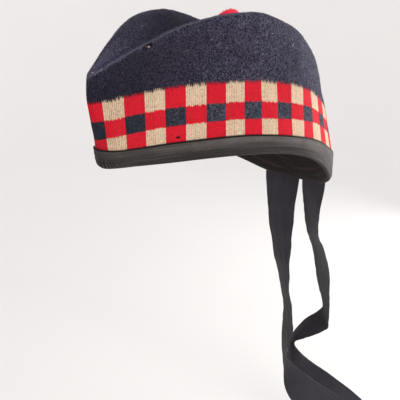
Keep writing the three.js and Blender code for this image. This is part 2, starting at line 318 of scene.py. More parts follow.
def grid_faces(row_count, column_count, closed):
    """Quads over a grid whose columns go round a loop. With closed, its rows do too."""
    rows = np.arange(row_count if closed else row_count - 1)
    row, column = np.meshgrid(rows, np.arange(column_count), indexing="ij")
    next_row = (row + 1) % row_count
    next_column = (column + 1) % column_count
    corners = [(row, column), (row, next_column), (next_row, next_column), (next_row, column)]
    return np.stack([r * column_count + c for r, c in corners], -1).reshape(-1, 4)


def face_out(thing, weld=None):
    """Turn every face outward, after points closer than weld metres are joined."""
    edit = bmesh.new()
    edit.from_mesh(thing.data)
    if weld:
        bmesh.ops.remove_doubles(edit, verts=edit.verts, dist=weld)
        bmesh.ops.dissolve_degenerate(edit, edges=edit.edges, dist=weld / 2)
    bmesh.ops.recalc_face_normals(edit, faces=edit.faces)
    edit.to_mesh(thing.data)
    edit.free()


def stand_for(thing, nodes):
    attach(thing, "root")
    if nodes:
        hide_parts(*nodes)


# ---- node helper

class Nodes:
    """Short calls for the node tree of a material or world. A value is a number, colour or socket."""

    def __init__(self, owner):
        owner.use_nodes = True
        self.owner = owner
        self.tree = owner.node_tree
        self.tree.nodes.clear()

    def add(self, kind, inputs, output=0, **settings):
        """A new node. Returns the output asked for, or all of them.

        inputs: values by the place or the name of the socket. None leaves a socket alone.
        """
        node = self.tree.nodes.new("ShaderNode" + kind)
        for key, value in settings.items():
            setattr(node, key, value)
        for key, value in inputs.items():
            if isinstance(value, bpy.types.NodeSocket):
                self.tree.links.new(value, node.inputs[key])
            elif value is not None:
                node.inputs[key].default_value = value
        return tuple(node.outputs) if output is None else node.outputs[output]

    def math(self, operation, a, b=None, c=None, clamp=False):
        return self.add("Math", {0: a, 1: b, 2: c}, operation=operation, use_clamp=clamp)

    def times(self, a, b, clamp=False):
        return self.math("MULTIPLY", a, b, clamp=clamp)

    def plus(self, a, b, clamp=False):
        return self.math("ADD", a, b, clamp=clamp)

    def minus(self, a, b):
        return self.math("SUBTRACT", a, b)

    def line(self, value, slope, start):
        return self.math("MULTIPLY_ADD", value, slope, start)

    def vector(self, operation, a, b):
        return self.add("VectorMath", {0: a, 1: b}, operation=operation)

    def mix(self, factor, a, b):
        return self.add("Mix", {"Factor": factor, 6: a, 7: b}, 2, data_type="RGBA")

    def noise(self, vector, scale, detail=2.0, roughness=0.5, output=0):
        inputs = {"Vector": vector, "Scale": scale, "Detail": detail, "Roughness": roughness}
        return self.add("TexNoise", inputs, output)

    def random(self, value):
        return self.add("TexWhiteNoise", {"W": value}, noise_dimensions="1D")

    def remap(self, value, low, high, to_low=0.0, to_high=1.0):
        inputs = {"Value": value, "From Min": low, "From Max": high, "To Min": to_low, "To Max": to_high}
        return self.add("MapRange", inputs, clamp=True)

    def attribute(self, name):
        """The three values of an attribute."""
        vector = self.add("Attribute", {}, "Vector", attribute_name=name)
        return self.add("SeparateXYZ", {0: vector}, None)

    def place(self):
        """Object coordinates in millimetres."""
        return self.vector("MULTIPLY", self.add("TexCoord", {}, "Object"), (1 / MM,) * 3)

    def bump(self, height, distance, strength, normal=None):
        inputs = {"Strength": strength, "Distance": distance * MM, "Height": height, "Normal": normal}
        return self.add("Bump", inputs)

    def surface(self, **sockets):
        """The finished material. sockets: the surface's values by name."""
        inputs = {name.replace("_", " "): value for name, value in sockets.items()}
        self.add("OutputMaterial", {"Surface": self.add("BsdfPrincipled", inputs)}, None)
        return self.owner


def material_nodes(name):
    return Nodes(bpy.data.materials.new(name))


# ---- wool

NAVY = (0.0070, 0.0062, 0.0132, 1)
NAVY_LIGHT = (0.121, 0.111, 0.173, 1)
CHECK_NAVY = (0.010, 0.014, 0.021, 1)
CHECK_LIGHT = (0.104, 0.102, 0.138, 1)
RED = (0.66, 0.013, 0.028, 1)
RED_DARK = (0.36, 0.004, 0.012, 1)
CREAM = (0.755, 0.566, 0.396, 1)
CREAM_DARK = (0.20, 0.115, 0.065, 1)
LINT = (0.50, 0.47, 0.50, 1)

# Tops of the dicing's rows, how far a stitch of one row reaches past its top, a course's height, and
# how pale the navy is at the front fold
ROW_HEIGHTS = (26.0, 38.0, WALL)
TEETH = (0.9, 1.1, 2.1)
COURSE = 1.0
FRONT_FADE = 0.19

# A small tear in a bottom red check: squares from the front fold, height, size, and the dent in it
TEAR = {"square": 4.26, "height": 17.4, "width": 3.2, "rise": 1.6, "reach": 1.7, "dent": 1.1}

# Loose fibres paler than this are lint
LINT_LEVEL = 1.5


def dicing_masks(n, squares, height):
    """Which yarn each stitch has. Returns the masks, and the stitch's number and places within it."""
    wales = n.line(squares, float(WALES_PER_SQUARE), FIRST_SQUARE * WALES_PER_SQUARE)
    wale = n.math("FLOOR", wales)
    phase = n.math("FRACT", wales)
    edge = n.math("ABSOLUTE", n.line(phase, 2.0, -1.0))
    chance = n.line(n.random(wale), 2.0, -1.0)
    courses = n.math("DIVIDE", n.line(edge, -1.0, height), COURSE)
    column = n.math("FLOOR", n.math("DIVIDE", n.plus(wale, 0.5), float(WALES_PER_SQUARE)))
    odd = n.math("FLOORED_MODULO", column, 2.0)
    above = []
    for row, tooth in zip(ROW_HEIGHTS, TEETH):
        lifted = n.line(edge, -tooth, n.line(chance, tooth * 0.4, height))
        above.append(n.math("GREATER_THAN", lifted, row - tooth / 2))
    middle = n.minus(above[0], above[1])
    masks = {
        "cream": n.times(odd, n.minus(1.0, middle)),
        "check_navy": n.times(n.minus(1.0, odd), middle),
        "navy": above[2],
    }
    return masks, {"wale": wale, "phase": phase, "edge": edge, "courses": courses}


def dicing_colour(n, masks, shade, mottle_and_sheen):
    """Colour of the yarns. Shade darkens red and cream; the mottle_and_sheen value, felted texture with
    painted sheen, pales navy.
    """
    colour = n.mix(masks["cream"], n.mix(shade, RED, RED_DARK), n.mix(shade, CREAM, CREAM_DARK))
    colour = n.mix(masks["check_navy"], colour, n.mix(mottle_and_sheen, CHECK_NAVY, CHECK_LIGHT))
    return n.mix(masks["navy"], colour, n.mix(mottle_and_sheen, NAVY, NAVY_LIGHT))


def tear_mask(n, squares, height, place):
    """1 in the tear and 0 outside it, with a ragged edge."""
    across = n.times(n.minus(squares, TEAR["square"]), SQUARE / (TEAR["width"] / 2))
    up = n.math("DIVIDE", n.minus(height, TEAR["height"]), TEAR["rise"] / 2)
    reach = n.math("SQRT", n.plus(n.math("POWER", across, 2.0), n.math("POWER", up, 2.0)))
    ragged = n.line(n.noise(place, 1.4, 2.0), 1.4, -0.7)
    return n.remap(n.plus(reach, ragged), 0.75, 1.15, 1.0, 0.0)


def wool_material(name):
    """Knitted wool. The attribute knit holds squares from the front fold, mm up the wall and painted
    lighting: painted sheen, a painted highlight on the ridge, painted light and shade in the valley.
    """
    n = material_nodes(name)
    squares, height, painted_lighting = n.attribute("knit")
    place = n.place()
    masks, stitch = dicing_masks(n, squares, height)

    drift = n.vector("SUBTRACT", n.noise(place, 0.45, output="Color"), (0.5,) * 3)
    warp = n.vector("ADD", place, n.vector("MULTIPLY", drift, (2.2,) * 3))
    worms = n.math("ABSOLUTE", n.line(n.noise(warp, 0.62, 1.0, 0.5), 2.0, -1.0))
    curl = n.remap(worms, 0.01, 0.20, 1.0, 0.0)
    fine = n.noise(place, 0.8, 3.0, 0.7)
    broad = n.noise(place, 0.09, 3.0, 0.6)
    mottle_and_sheen = n.line(curl, 0.46, n.remap(fine, 0.40, 0.78, 0.0, 0.55))
    mottle_and_sheen = n.math("MAXIMUM", n.line(mottle_and_sheen, 1.4, -0.11), 0.0)
    mottle_and_sheen = n.times(mottle_and_sheen, n.remap(broad, 0.3, 0.7, 0.75, 1.2))
    # The navy's felted mottle is scaled by its painted sheen, and a painted highlight brightens the ridge.
    mottle_and_sheen = n.times(mottle_and_sheen, n.plus(painted_lighting, FRONT_FADE), clamp=True)
    mottle_and_sheen = n.math("MAXIMUM", mottle_and_sheen, n.remap(painted_lighting, 1.0, 1.8, 0.0, 0.85))

    between = n.remap(stitch["edge"], 0.55, 1.0)
    strength = n.line(n.random(n.plus(stitch["wale"], 71.0)), 0.55, 0.2)
    shade = n.times(between, strength)
    # Painted shade: red and cream darker at the front fold, where less light falls.
    shade = n.plus(shade, n.remap(painted_lighting, 0.0, 0.3, 0.16, 0.0))
    shade = n.plus(shade, n.remap(fine, 0.42, 0.72, 0.0, 0.5), clamp=True)
    colour = dicing_colour(n, masks, shade, mottle_and_sheen)
    torn = tear_mask(n, squares, height, place)
    # Painted shadow: a dark line on the dicing just above the binding's top edge. The tear takes the same
    # dark colour.
    painted_shadow_line = n.remap(height, BINDING_TOP + 0.2, BINDING_TOP + 0.9, 0.85, 0.0)
    colour = n.mix(n.math("MAXIMUM", torn, painted_shadow_line), colour, (0.012, 0.004, 0.006, 1))

    half = n.math("FRACT", n.times(stitch["phase"], 2.0))
    arm = n.math("SINE", n.times(half, math.pi))
    loop = n.math("SINE", n.times(n.math("FRACT", stitch["courses"]), math.pi))
    yarn = n.times(n.math("SQRT", arm), n.line(loop, 0.6, 0.4))
    relief = n.times(yarn, n.line(masks["navy"], -0.8, 1.0))
    felt = n.times(curl, n.line(masks["navy"], 0.8, 0.2))
    normal = n.bump(relief, 0.35, 0.6)
    normal = n.bump(felt, 0.8, 0.85, normal)
    normal = n.bump(fine, 1.0, 0.8, normal)
    return n.surface(
        Base_Color=colour, Roughness=0.95, Normal=normal, Specular_IOR_Level=0.12,
        Sheen_Weight=0.10, Sheen_Roughness=0.35, Sheen_Tint=(0.80, 0.80, 1.0, 1),
    )


def fibre_material(name):
    """Loose fibres: the colour of the knit they stand in, some of them paler with its painted sheen."""
    n = material_nodes(name)
    squares, height, pale = n.attribute("knit")
    masks, _ = dicing_masks(n, squares, height)
    colour = dicing_colour(n, masks, n.times(pale, 0.25), n.times(pale, 0.9))
    colour = n.mix(n.math("GREATER_THAN", pale, LINT_LEVEL), colour, LINT)
    return n.surface(Base_Color=colour, Roughness=0.85, Specular_IOR_Level=0.25)


# ---- the dicing's way round

# Steps of the table round the cap, and the count of them that it is softened over
SHARE_STEPS = 2400
SHARE_SOFTENING = 133


def dicing_share():
    """Share of the dicing's way round at evenly spaced u. The knit is stretched round the front."""
    # The share of half the way round at each section, front to back
    half = np.array([0, 0.04, 0.1, 0.18, 0.27, 0.36, 0.45, 0.54, 0.63, 0.72, 0.81, 0.9, 1.0]) / 2
    stations = np.concatenate([half, 1 - half[-2::-1]])
    u = np.linspace(-1, 2, 3 * SHARE_STEPS + 1)
    share = np.floor(u) + np.interp(u - np.floor(u), np.linspace(0, 1, len(stations)), stations)
    soft = np.hanning(SHARE_SOFTENING)
    smooth = np.convolve(share - u, soft / soft.sum(), mode="same") + u
    return smooth[SHARE_STEPS:2 * SHARE_STEPS + 1]


SHARE_TABLE = dicing_share()
SHARE_PLACES = np.linspace(0, 1, len(SHARE_TABLE))


def squares_at(u):
    """Squares from the front fold, going round by the wearer's left."""
    return SQUARES_ROUND * np.interp(u % 1.0, SHARE_PLACES, SHARE_TABLE)


# Where the two inner dicing lines lie: squares from the front fold, mm up the wall. The knit is
# pulled down at the front fold and up at the back.
LINE_SQUARES = (0, 0.4, 0.9, 1.7, 2.7, 8.7, 11.7, 14.7, 21)
LOWER_LINE = (21.4, 22.3, 23.9, 24.5, 25.2, 25.3, 26.8, 28.6, 28.6)
UPPER_LINE = (36.6, 37.0, 37.4, 37.4, 37.8, 37.5, 38.4, 39.0, 39.0)


def squares_from_fold(squares):
    """Squares to the front fold by the shorter way."""
    return np.minimum(squares % SQUARES_ROUND, SQUARES_ROUND - squares % SQUARES_ROUND)


def knitted_height(squares, height):
    """Height in the knit's own rows for a height up the wall."""
    away = squares_from_fold(squares)
    lower = np.interp(away, LINE_SQUARES, LOWER_LINE)
    upper = np.interp(away, LINE_SQUARES, UPPER_LINE)
    first, second, third = ROW_HEIGHTS
    low = BINDING_TOP + (height - BINDING_TOP) * (first - BINDING_TOP) / (lower - BINDING_TOP)
    middle = first + (height - lower) * (second - first) / (upper - lower)
    high = second + (height - upper) * (third - second) / (third - upper)
    zones = [height < BINDING_TOP, height < lower, height < upper]
    return np.select(zones, [height + 0 * low, low, middle], high)


def painted_sheen(squares):
    """Painted sheen on the navy: dark at the front fold, paler from the temples back, where light grazes
    the wool.
    """
    t = ramp(squares_from_fold(squares), 0.8, 7.0)
    return 0.90 * t * t * (3 - 2 * t)


def grid_normals(grid):
    """Unit normals of a grid whose columns close into a loop, and the size of its cells."""
    along = np.roll(grid, -1, axis=1) - np.roll(grid, 1, axis=1)
    normal = np.cross(along, np.gradient(grid, axis=0))
    return unit(normal), norm(normal, axis=-1)


# ---- crown

CROWN_COLUMNS = 480
CROWN_SIDE = np.linspace(0, 1, 61)
CROWN_VALLEY = np.linspace(0, 1, 43)[1:]
CROWN_INSIDE_STEP = 3
SEAM_HEIGHT = WALL + 0.06
WELD = 2e-6

# Wrinkles: height, wavelength and seed. They die out over some rows at the seam and at the crease
CROWN_WRINKLES = ((0.55, 46, 3), (0.16, 9, 4), (0.05, 2.6, 5))
SEAM_ROWS = 4
CREASE_ROWS = 10

# Moth hole right below the ridge: rows and columns left open, its middle and size, and how far past
# its edge the cells are drawn in, as a share of its half width
HOLE_ROWS = (42, 58)
HOLE_COLUMNS = (39, 43)
HOLE = {"row": 49, "column": 41.4, "across": 4.9, "up": 4.2}
DRAWN_REACH = 0.9


def crown_surface(inset):
    """The crown's grid inset mm inside its outer face, with its knit values and unit normals."""
    u = np.arange(CROWN_COLUMNS) / CROWN_COLUMNS
    grid = crown_rows(u, inset, SEAM_HEIGHT, CROWN_SIDE, CROWN_VALLEY)
    normal, size = grid_normals(grid)
    ease = np.ones(len(grid))
    ease[-CREASE_ROWS:] = np.linspace(1, 0, CREASE_ROWS) ** 1.5
    ease[:SEAM_ROWS] = np.linspace(0, 1, SEAM_ROWS)
    move = wrinkled(grid, CROWN_WRINKLES) * ease[:, None] * np.clip(size / 2.0, 0, 1)
    moved = grid + normal * np.where(inset > 0, 0.3, 1.0) * move[..., None]
    moved[-1] = grid[-1]
    height = WALL + walked(grid)
    squares = np.broadcast_to(squares_at(u), height.shape)
    row = np.arange(len(grid))[:, None]
    ridge = len(CROWN_SIDE) - 1
    # Painted highlight along the ridge, a little below it on the outer side where grazing light catches
    # the fuzz, in a broader paler band.
    from_ridge = height - height[ridge] + 1.0
    worn_and_lit = 1.5 * bell(from_ridge, 0, 1.4) + 0.22 * bell(from_ridge, 0, 9)
    past_ridge = ramp(row, ridge, 8)
    into_crease = ramp(row, ridge + 20, 20)
    to_back = ramp(squares_from_fold(squares), 1, 5)
    # Past the ridge: painted light on the valley near the front, where light grazes its fuzz, and painted
    # shade toward the back and into the crease.
    painted_valley_lighting = 1.4 - 1.45 * to_back - 0.6 * into_crease
    pale = painted_sheen(squares) * (1 - past_ridge) + np.maximum(painted_valley_lighting, -0.1) * past_ridge
    return moved, np.stack([squares, height, pale + worn_and_lit], -1), normal


def between(grid, row, column):
    """Values of a looped grid at rows and columns with fractions."""
    row = np.clip(row, 0, len(grid) - 1.001)
    r, c = np.floor(row).astype(int), np.floor(column).astype(int)
    a, b = (row - r)[..., None], (column - c)[..., None]
    c, d = c % grid.shape[1], (c + 1) % grid.shape[1]
    here = grid[r, c] * (1 - a) + grid[r + 1, c] * a
    beside = grid[r, d] * (1 - a) + grid[r + 1, d] * a
    return here * (1 - b) + beside * b


def from_hole(grid, across, up):
    """Row and column of the crown at mm across and mm up from the middle of the moth hole."""
    row, column = HOLE["row"], int(HOLE["column"])
    climb = walked(grid[:, column])
    width = norm(grid[row, column + 1] - grid[row, column])
    return np.interp(up, climb - climb[row], np.arange(len(climb))), HOLE["column"] + across / width


def drawn_to_hole(grid):
    """Places in the grid, row and column, after the cells at the hole are drawn in to its edge."""
    row, column = np.meshgrid(np.arange(len(grid)) * 1.0, np.arange(grid.shape[1]) * 1.0, indexing="ij")
    (r0, r1), (c0, c1) = HOLE_ROWS, HOLE_COLUMNS
    r = (2 * row - r0 - r1) / (r1 - r0)
    c = (2 * column - c0 - c1) / (c1 - c0)
    ring = np.maximum(np.abs(r), np.abs(c))
    away = ramp(ring, 1, DRAWN_REACH)
    turn = np.arctan2(r, c)
    ragged = 1 + 0.10 * np.sin(5 * turn + 1) + 0.07 * np.sin(9 * turn)
    across, up = np.cos(turn) * ragged * HOLE["across"] / 2, np.sin(turn) * ragged * HOLE["up"] / 2
    edge_row, edge_column = from_hole(grid, across, up)
    inside = ring < 1 + DRAWN_REACH
    row = np.where(inside, edge_row * (1 - away) + row * away, row)
    column = np.where(inside, edge_column * (1 - away) + column * away, column)
    return row, column


def hole_ring():
    """Rows and columns of the corners round the hole, in order."""
    (r0, r1), (c0, c1) = HOLE_ROWS, HOLE_COLUMNS
    ring = [(r0, c) for c in range(c0, c1)] + [(r, c1) for r in range(r0, r1)]
    return ring + [(r1, c) for c in range(c1, c0, -1)] + [(r, c0) for r in range(r1, r0, -1)]


def make_crown(material):
    """One shell with the moth hole through it. Returns the outer grid as it is without the hole."""
    whole, whole_knit, normal = crown_surface(0.0)
    inner, knit_inner, _ = crown_surface(KNIT)
    # Painted shade inside the crown, seen through the moth hole: the inner face gets no paleness.
    knit_inner[..., 2] = -FRONT_FADE
    places = drawn_to_hole(whole)
    outer, knit_outer, inner, knit_inner = (
        between(field, *places) for field in (whole, whole_knit, inner, knit_inner)
    )
    (r0, r1), (c0, c1) = HOLE_ROWS, HOLE_COLUMNS
    near_hole = range(2 * r0 - r1, len(CROWN_SIDE))
    kept = sorted({0, len(inner) - 1, *range(0, len(inner), CROWN_INSIDE_STEP), *near_hole}, reverse=True)
    grid = np.concatenate([inner[kept], outer])
    knit = np.concatenate([knit_inner[kept], knit_outer])
    rows, columns = grid.shape[:2]
    open_cells = np.zeros((rows, columns), bool)
    open_cells[kept.index(r1):kept.index(r0), c0:c1] = True
    open_cells[len(kept) + r0:len(kept) + r1, c0:c1] = True
    outside = np.array([(len(kept) + r) * columns + c for r, c in hole_ring()])
    inside = np.array([kept.index(r) * columns + c for r, c in hole_ring()])
    edge = np.stack([outside, np.roll(outside, -1), np.roll(inside, -1), inside], -1)
    faces = np.concatenate([grid_faces(rows, columns, True)[~open_cells.ravel()], edge])
    thing = field_object("knit_crown", grid, faces, material, "knit", knit, SQUARES_ROUND)
    face_out(thing, WELD)
    stand_for(thing, ["crown"])
    return whole, whole_knit, normal


# Frayed tufts round the moth hole: mm across and up from its middle, spread, strands, paleness
TUFTS = [
    (-0.5, -0.9, 0.5, 24, 1.0), (0.2, -0.9, 0.4, 8, 0.75), (-2.3, -0.1, 0.45, 22, 0.5),
    (-1.9, 0.9, 0.3, 8, 0.1), (-0.3, -2.3, 0.5, 10, 0.35),
]

# Lint on the crown: row and column, size in mm, curl, brown (0) to white (1)
LINT_PLACES = [
    (23, 87, 0.8, 0.2, 1.0), (31, 76, 0.6, 0.2, 0.8), (19, 110, 0.7, 0.4, 0.9), (7, 99, 0.6, 0.3, 0.8),
    (34, 114, 0.7, 0.2, 0.9), (26, 65, 0.6, 0.2, 0.8), (62, 7, 0.8, 0.2, 1.0), (3, 71, 0.7, 0.6, 0.7),
    (29, 132, 1.6, 1.6, 0.8), (73, 415, 1.0, 0.5, 0.9),
]


def strands_material():
    """Frayed wool and lint: brown, then pinkish beige, then white."""
    n = material_nodes("frayed_strands")
    paleness, _, _ = n.attribute("yarn")
    colour = n.mix(n.remap(paleness, 0.1, 0.5), (0.045, 0.016, 0.016, 1), (0.24, 0.145, 0.135, 1))
    colour = n.mix(n.remap(paleness, 0.5, 1.0), colour, (0.58, 0.45, 0.45, 1))
    return n.surface(Base_Color=colour, Roughness=0.9, Specular_IOR_Level=0.2)


STRANDS_A_LINT = 5


def lying_on(out, count):
    """Random unit directions at right angles to out."""
    lying = rng.normal(size=(count, 3))
    return unit(lying - out * np.sum(lying * out, axis=1, keepdims=True))


def tuft(grid, normal, x, y, spread, count, paleness):
    """Frayed ends at one place: bases, directions, bends, radii and paleness."""
    spot = rng.normal(scale=spread * 0.6, size=(count, 2)) + (x, y)
    places = from_hole(grid, *spot.T)
    out = between(normal, *places)
    directions = lying_on(out, count) * rng.uniform(0.3, 0.7, (count, 1))
    directions += out * rng.uniform(0.1, 0.4, (count, 1))
    bends = rng.normal(scale=0.16, size=(count, 3))
    radii = rng.uniform(0.06, 0.10, count)
    pale = np.clip(paleness + rng.normal(scale=0.06, size=count), 0, 1)
    return between(grid, *places) - out * 0.25, directions, bends, radii, pale


def lint(grid, normal, row, column, size, curl, paleness):
    """One bit of lint: bases, directions, bends, radii and paleness."""
    out = normal[row, column]
    lying = lying_on(out, STRANDS_A_LINT)
    bases = grid[row, column] + out * 0.12 + rng.normal(scale=0.12, size=lying.shape)
    bends = np.cross(lying, out) * curl * rng.choice((-1, 1), (STRANDS_A_LINT, 1))
    radii = np.full(STRANDS_A_LINT, 0.11 + 0.05 * size)
    return bases, lying * size * 0.6 + out * 0.2, bends, radii, np.full(STRANDS_A_LINT, paleness)


def make_strands(grid, normal, material):
    """Frayed ends at the moth hole and lint lying on the crown."""
    strands = [tuft(grid, normal, *numbers) for numbers in TUFTS]
    strands += [lint(grid, normal, *numbers) for numbers in LINT_PLACES]
    *shape, pale = (np.concatenate(part) for part in zip(*strands))
    vertices, faces, per = spikes(*shape, 5, 4, 0.7)
    values = np.zeros(vertices.shape)
    values[:, 0] = np.repeat(pale, per)
    thing = field_object("frayed_strands", vertices, faces, material, "yarn", values)
    stand_for(thing, [])


# ---- diced band

BAND_TOP = WALL - 0.02
BAND_FOOT = 2.0
FREE_BAND_ROW = 3
WALE_SAMPLES = 4
WALE_RELIEF = 0.13
BAND_WRINKLES = ((0.22, 24, 8), (0.05, 5, 9))


def band_columns():
    """Values of u so that each wale of the band gets the same count of columns."""
    count = SQUARES_ROUND * WALES_PER_SQUARE * WALE_SAMPLES
    share = (np.arange(count) + 0.5) / count
    return np.interp(share, SHARE_TABLE, SHARE_PLACES)


def make_band(material):
    """One closed wall. Returns its outer grid and knit values."""
    u = band_columns()
    heights = np.concatenate([[BAND_FOOT], np.linspace(9, BAND_TOP, 21)])
    squares = squares_at(u)
    wales = (squares + FIRST_SQUARE) * WALES_PER_SQUARE
    relief = WALE_RELIEF * np.sin(math.pi * (wales % 1.0)) ** 0.7
    at_tear = bell(squares * SQUARE, TEAR["square"] * SQUARE, TEAR["reach"])
    rows = []
    for height in heights:
        base = wall(u, height)
        soft = wrinkled(base, BAND_WRINKLES) * ramp(WALL - height, 0, 3) * (height > 15)
        dent = TEAR["dent"] * at_tear * bell(knitted_height(squares, height), TEAR["height"], 1.0)
        rows.append(base + outward(RIM, u) * (relief - 0.1 + soft - dent)[:, None])
    inner = [wall(u, height, -KNIT) for height in heights[::3]]
    grid = np.array(rows + inner[::-1])
    both = np.concatenate([heights, heights[::3][::-1]])
    knit = np.zeros(grid.shape)
    knit[..., 0] = squares
    knit[..., 1] = knitted_height(squares[None], both[:, None])
    knit[..., 2] = painted_sheen(squares)
    faces = grid_faces(*grid.shape[:2], True)
    thing = field_object("knit_diced_band", grid, faces, material, "knit", knit, SQUARES_ROUND)
    face_out(thing)
    stand_for(thing, ["diced_band"])
    return grid[:len(heights)], knit[:len(heights)]


# ---- nap

# Nap: fibres, their mean length and how much they rise. None within HOLE_CLEAR of the hole's middle
CROWN_NAP = {"fibres": 46000, "length": 1.5, "lift": 0.55}
DICING_NAP = {"fibres": 24000, "length": 1.0, "lift": 0.45}
HOLE_CLEAR = 2.2


def scatter(grid, knit, count, rows):
    """Random places over rows of a looped grid, spread by area: point, normal, tangents, knit."""
    first, last = rows
    along = np.roll(grid, -1, axis=1) - grid
    up = np.diff(grid, axis=0, append=grid[-1:])
    area = norm(np.cross(along, up), axis=-1)[first:last]
    odds = area.ravel() / area.sum()
    pick = rng.choice(area.size, size=count, p=odds)
    row = pick // grid.shape[1] + first
    column = pick % grid.shape[1]
    a, b = rng.uniform(0, 1, (2, count, 1))
    beside = (column + 1) % grid.shape[1]
    values = knit[row, column].copy()
    step = knit[row, beside, 0] - knit[row, column, 0]
    step = np.where(step < -1, step + SQUARES_ROUND, step)
    values[:, 0] += step * a[:, 0]
    values[:, 1] += (knit[row + 1, column, 1] - knit[row, column, 1]) * b[:, 0]
    tangent = unit(along[row, column])
    normal = unit(np.cross(tangent, up[row, column]))
    point = between(grid, row + b[:, 0], column + a[:, 0])
    return point, normal, tangent, np.cross(normal, tangent), values


def make_nap(name, nap, grid, knit, first_row, material, hole):
    """Short loose fibres lying over the knit, each one closed and tapering. None at the hole."""
    scattered = scatter(grid, knit, nap["fibres"], (first_row, len(grid) - 1))
    kept = norm(scattered[0] - hole, axis=1) > HOLE_CLEAR
    point, normal, tangent, across, values = (field[kept] for field in scattered)
    count = len(point)
    turn = rng.uniform(0, math.tau, (count, 1))
    size = nap["length"] * rng.uniform(0.45, 1.35, (count, 1))
    rise = nap["lift"] * rng.uniform(0.1, 1.0, (count, 1)) ** 2
    lying = tangent * np.cos(turn) + across * np.sin(turn)
    directions = lying * size + normal * rise * size
    bends = rng.normal(scale=0.12, size=(count, 3)) * size
    radii = rng.uniform(0.035, 0.06, count)
    vertices, faces, per = spikes(point - normal * 0.04, directions, bends, radii, 3, 1, 1.0)
    # Fibres carry the knit's painted sheen and highlight, at random strengths.
    values[:, 2] = np.clip(values[:, 2] + FRONT_FADE, 0, 1.2) * rng.uniform(0, 1, count) ** 1.5
    values[:, 2] = np.where(rng.uniform(0, 1, count) > 0.998, LINT_LEVEL + 0.5, values[:, 2])
    thing = field_object(name, vertices, faces, material, "knit", np.repeat(values, per, axis=0))
    stand_for(thing, [])


# ---- binding

BINDING = (0.028, 0.025, 0.024, 1)
BINDING_WORN_AND_LIT = (0.125, 0.112, 0.106, 1)
BINDING_BROWN = (0.082, 0.040, 0.033, 1)

# Section of the folded ribbon round the foot of the band: offset from the wall, height
BINDING_SECTION = [
    (0.30, 13.7), (0.75, 14.15), (1.2, 13.5), (1.55, 10.5), (1.5, 7.0), (1.45, 4.0), (0.95, 1.2),
    (-1.1, -0.1), (-3.1, 1.2), (-3.55, 4.0), (-3.5, 10.0), (-3.45, 16.2), (-3.0, 17.0), (-2.6, 16.2),
    (-2.55, 9.0), (-2.5, 3.0), (-1.1, 1.5), (0.25, 3.0), (0.25, 9.0),
]
BINDING_SAMPLES = 86
BINDING_COLUMNS = 720

# Puckers where the ribbon was gathered by hand: mm round from the front fold, half width, depth,
# distance between two, and lean for each mm up
PUCKERS = {"arc": 5.0, "spread": 6.5, "depth": 0.6, "wavelength": 3.3, "slant": 0.6}

# Painted shadow along the outer top edge, a dark line where the ribbon meets the dicing
LIP_SHADOW = -0.8


def ribbon_material(name, rib, plain, worn_and_lit, brown, gloss, uneven):
    """Ribbed ribbon. The attribute ribbon holds mm along, mm across and painted lighting: paler where
    light falls, a painted shadow line below 0.
    """
    n = material_nodes(name)
    along, across, painted_lighting = n.attribute("ribbon")
    place = n.place()
    drawn = n.add("CombineXYZ", {"X": n.times(along, 0.02), "Y": n.times(across, 0.55)})
    streaks = n.noise(drawn, 1.0, 4.0, 0.6)
    fine = n.noise(place, 0.9, 3.0, 0.65)
    blotch = n.noise(place, 0.07, 3.0, 0.6)
    lint = n.noise(place, 3.1, 1.0, 0.5)
    # Paler where worn and where painted light falls, with uneven streaks.
    amount = n.plus(painted_lighting, n.line(streaks, uneven, -uneven / 2), clamp=True)
    amount = n.times(amount, n.remap(blotch, 0.25, 0.75, 0.55, 1.2), clamp=True)
    colour = n.mix(amount, plain, worn_and_lit)
    colour = n.mix(n.remap(streaks, 0.56, 0.68, 0.0, 0.55), colour, brown)
    colour = n.mix(n.remap(lint, 0.66, 0.82, 0.0, 0.5), colour, worn_and_lit)
    colour = n.mix(n.remap(fine, 0.3, 0.7, 0.35, 0.0), colour, (0.012, 0.011, 0.012, 1))
    # Painted shadow line where the value is below 0.
    colour = n.mix(n.remap(painted_lighting, -0.9, 0.0, 0.92, 0.0), colour, (0.006, 0.005, 0.006, 1))
    ribs = n.math("SINE", n.times(along, math.tau / rib))
    normal = n.bump(ribs, 0.16, 0.35)
    normal = n.bump(streaks, 0.9, 0.5, normal)
    normal = n.bump(fine, 0.3, 0.5, normal)
    dull = n.remap(streaks, 0.3, 0.7, 0.92, 0.78)
    return n.surface(
        Base_Color=colour, Roughness=dull, Normal=normal, Specular_IOR_Level=gloss,
        Sheen_Weight=0.05, Sheen_Roughness=0.4, Sheen_Tint=(0.95, 0.92, 0.9, 1),
    )


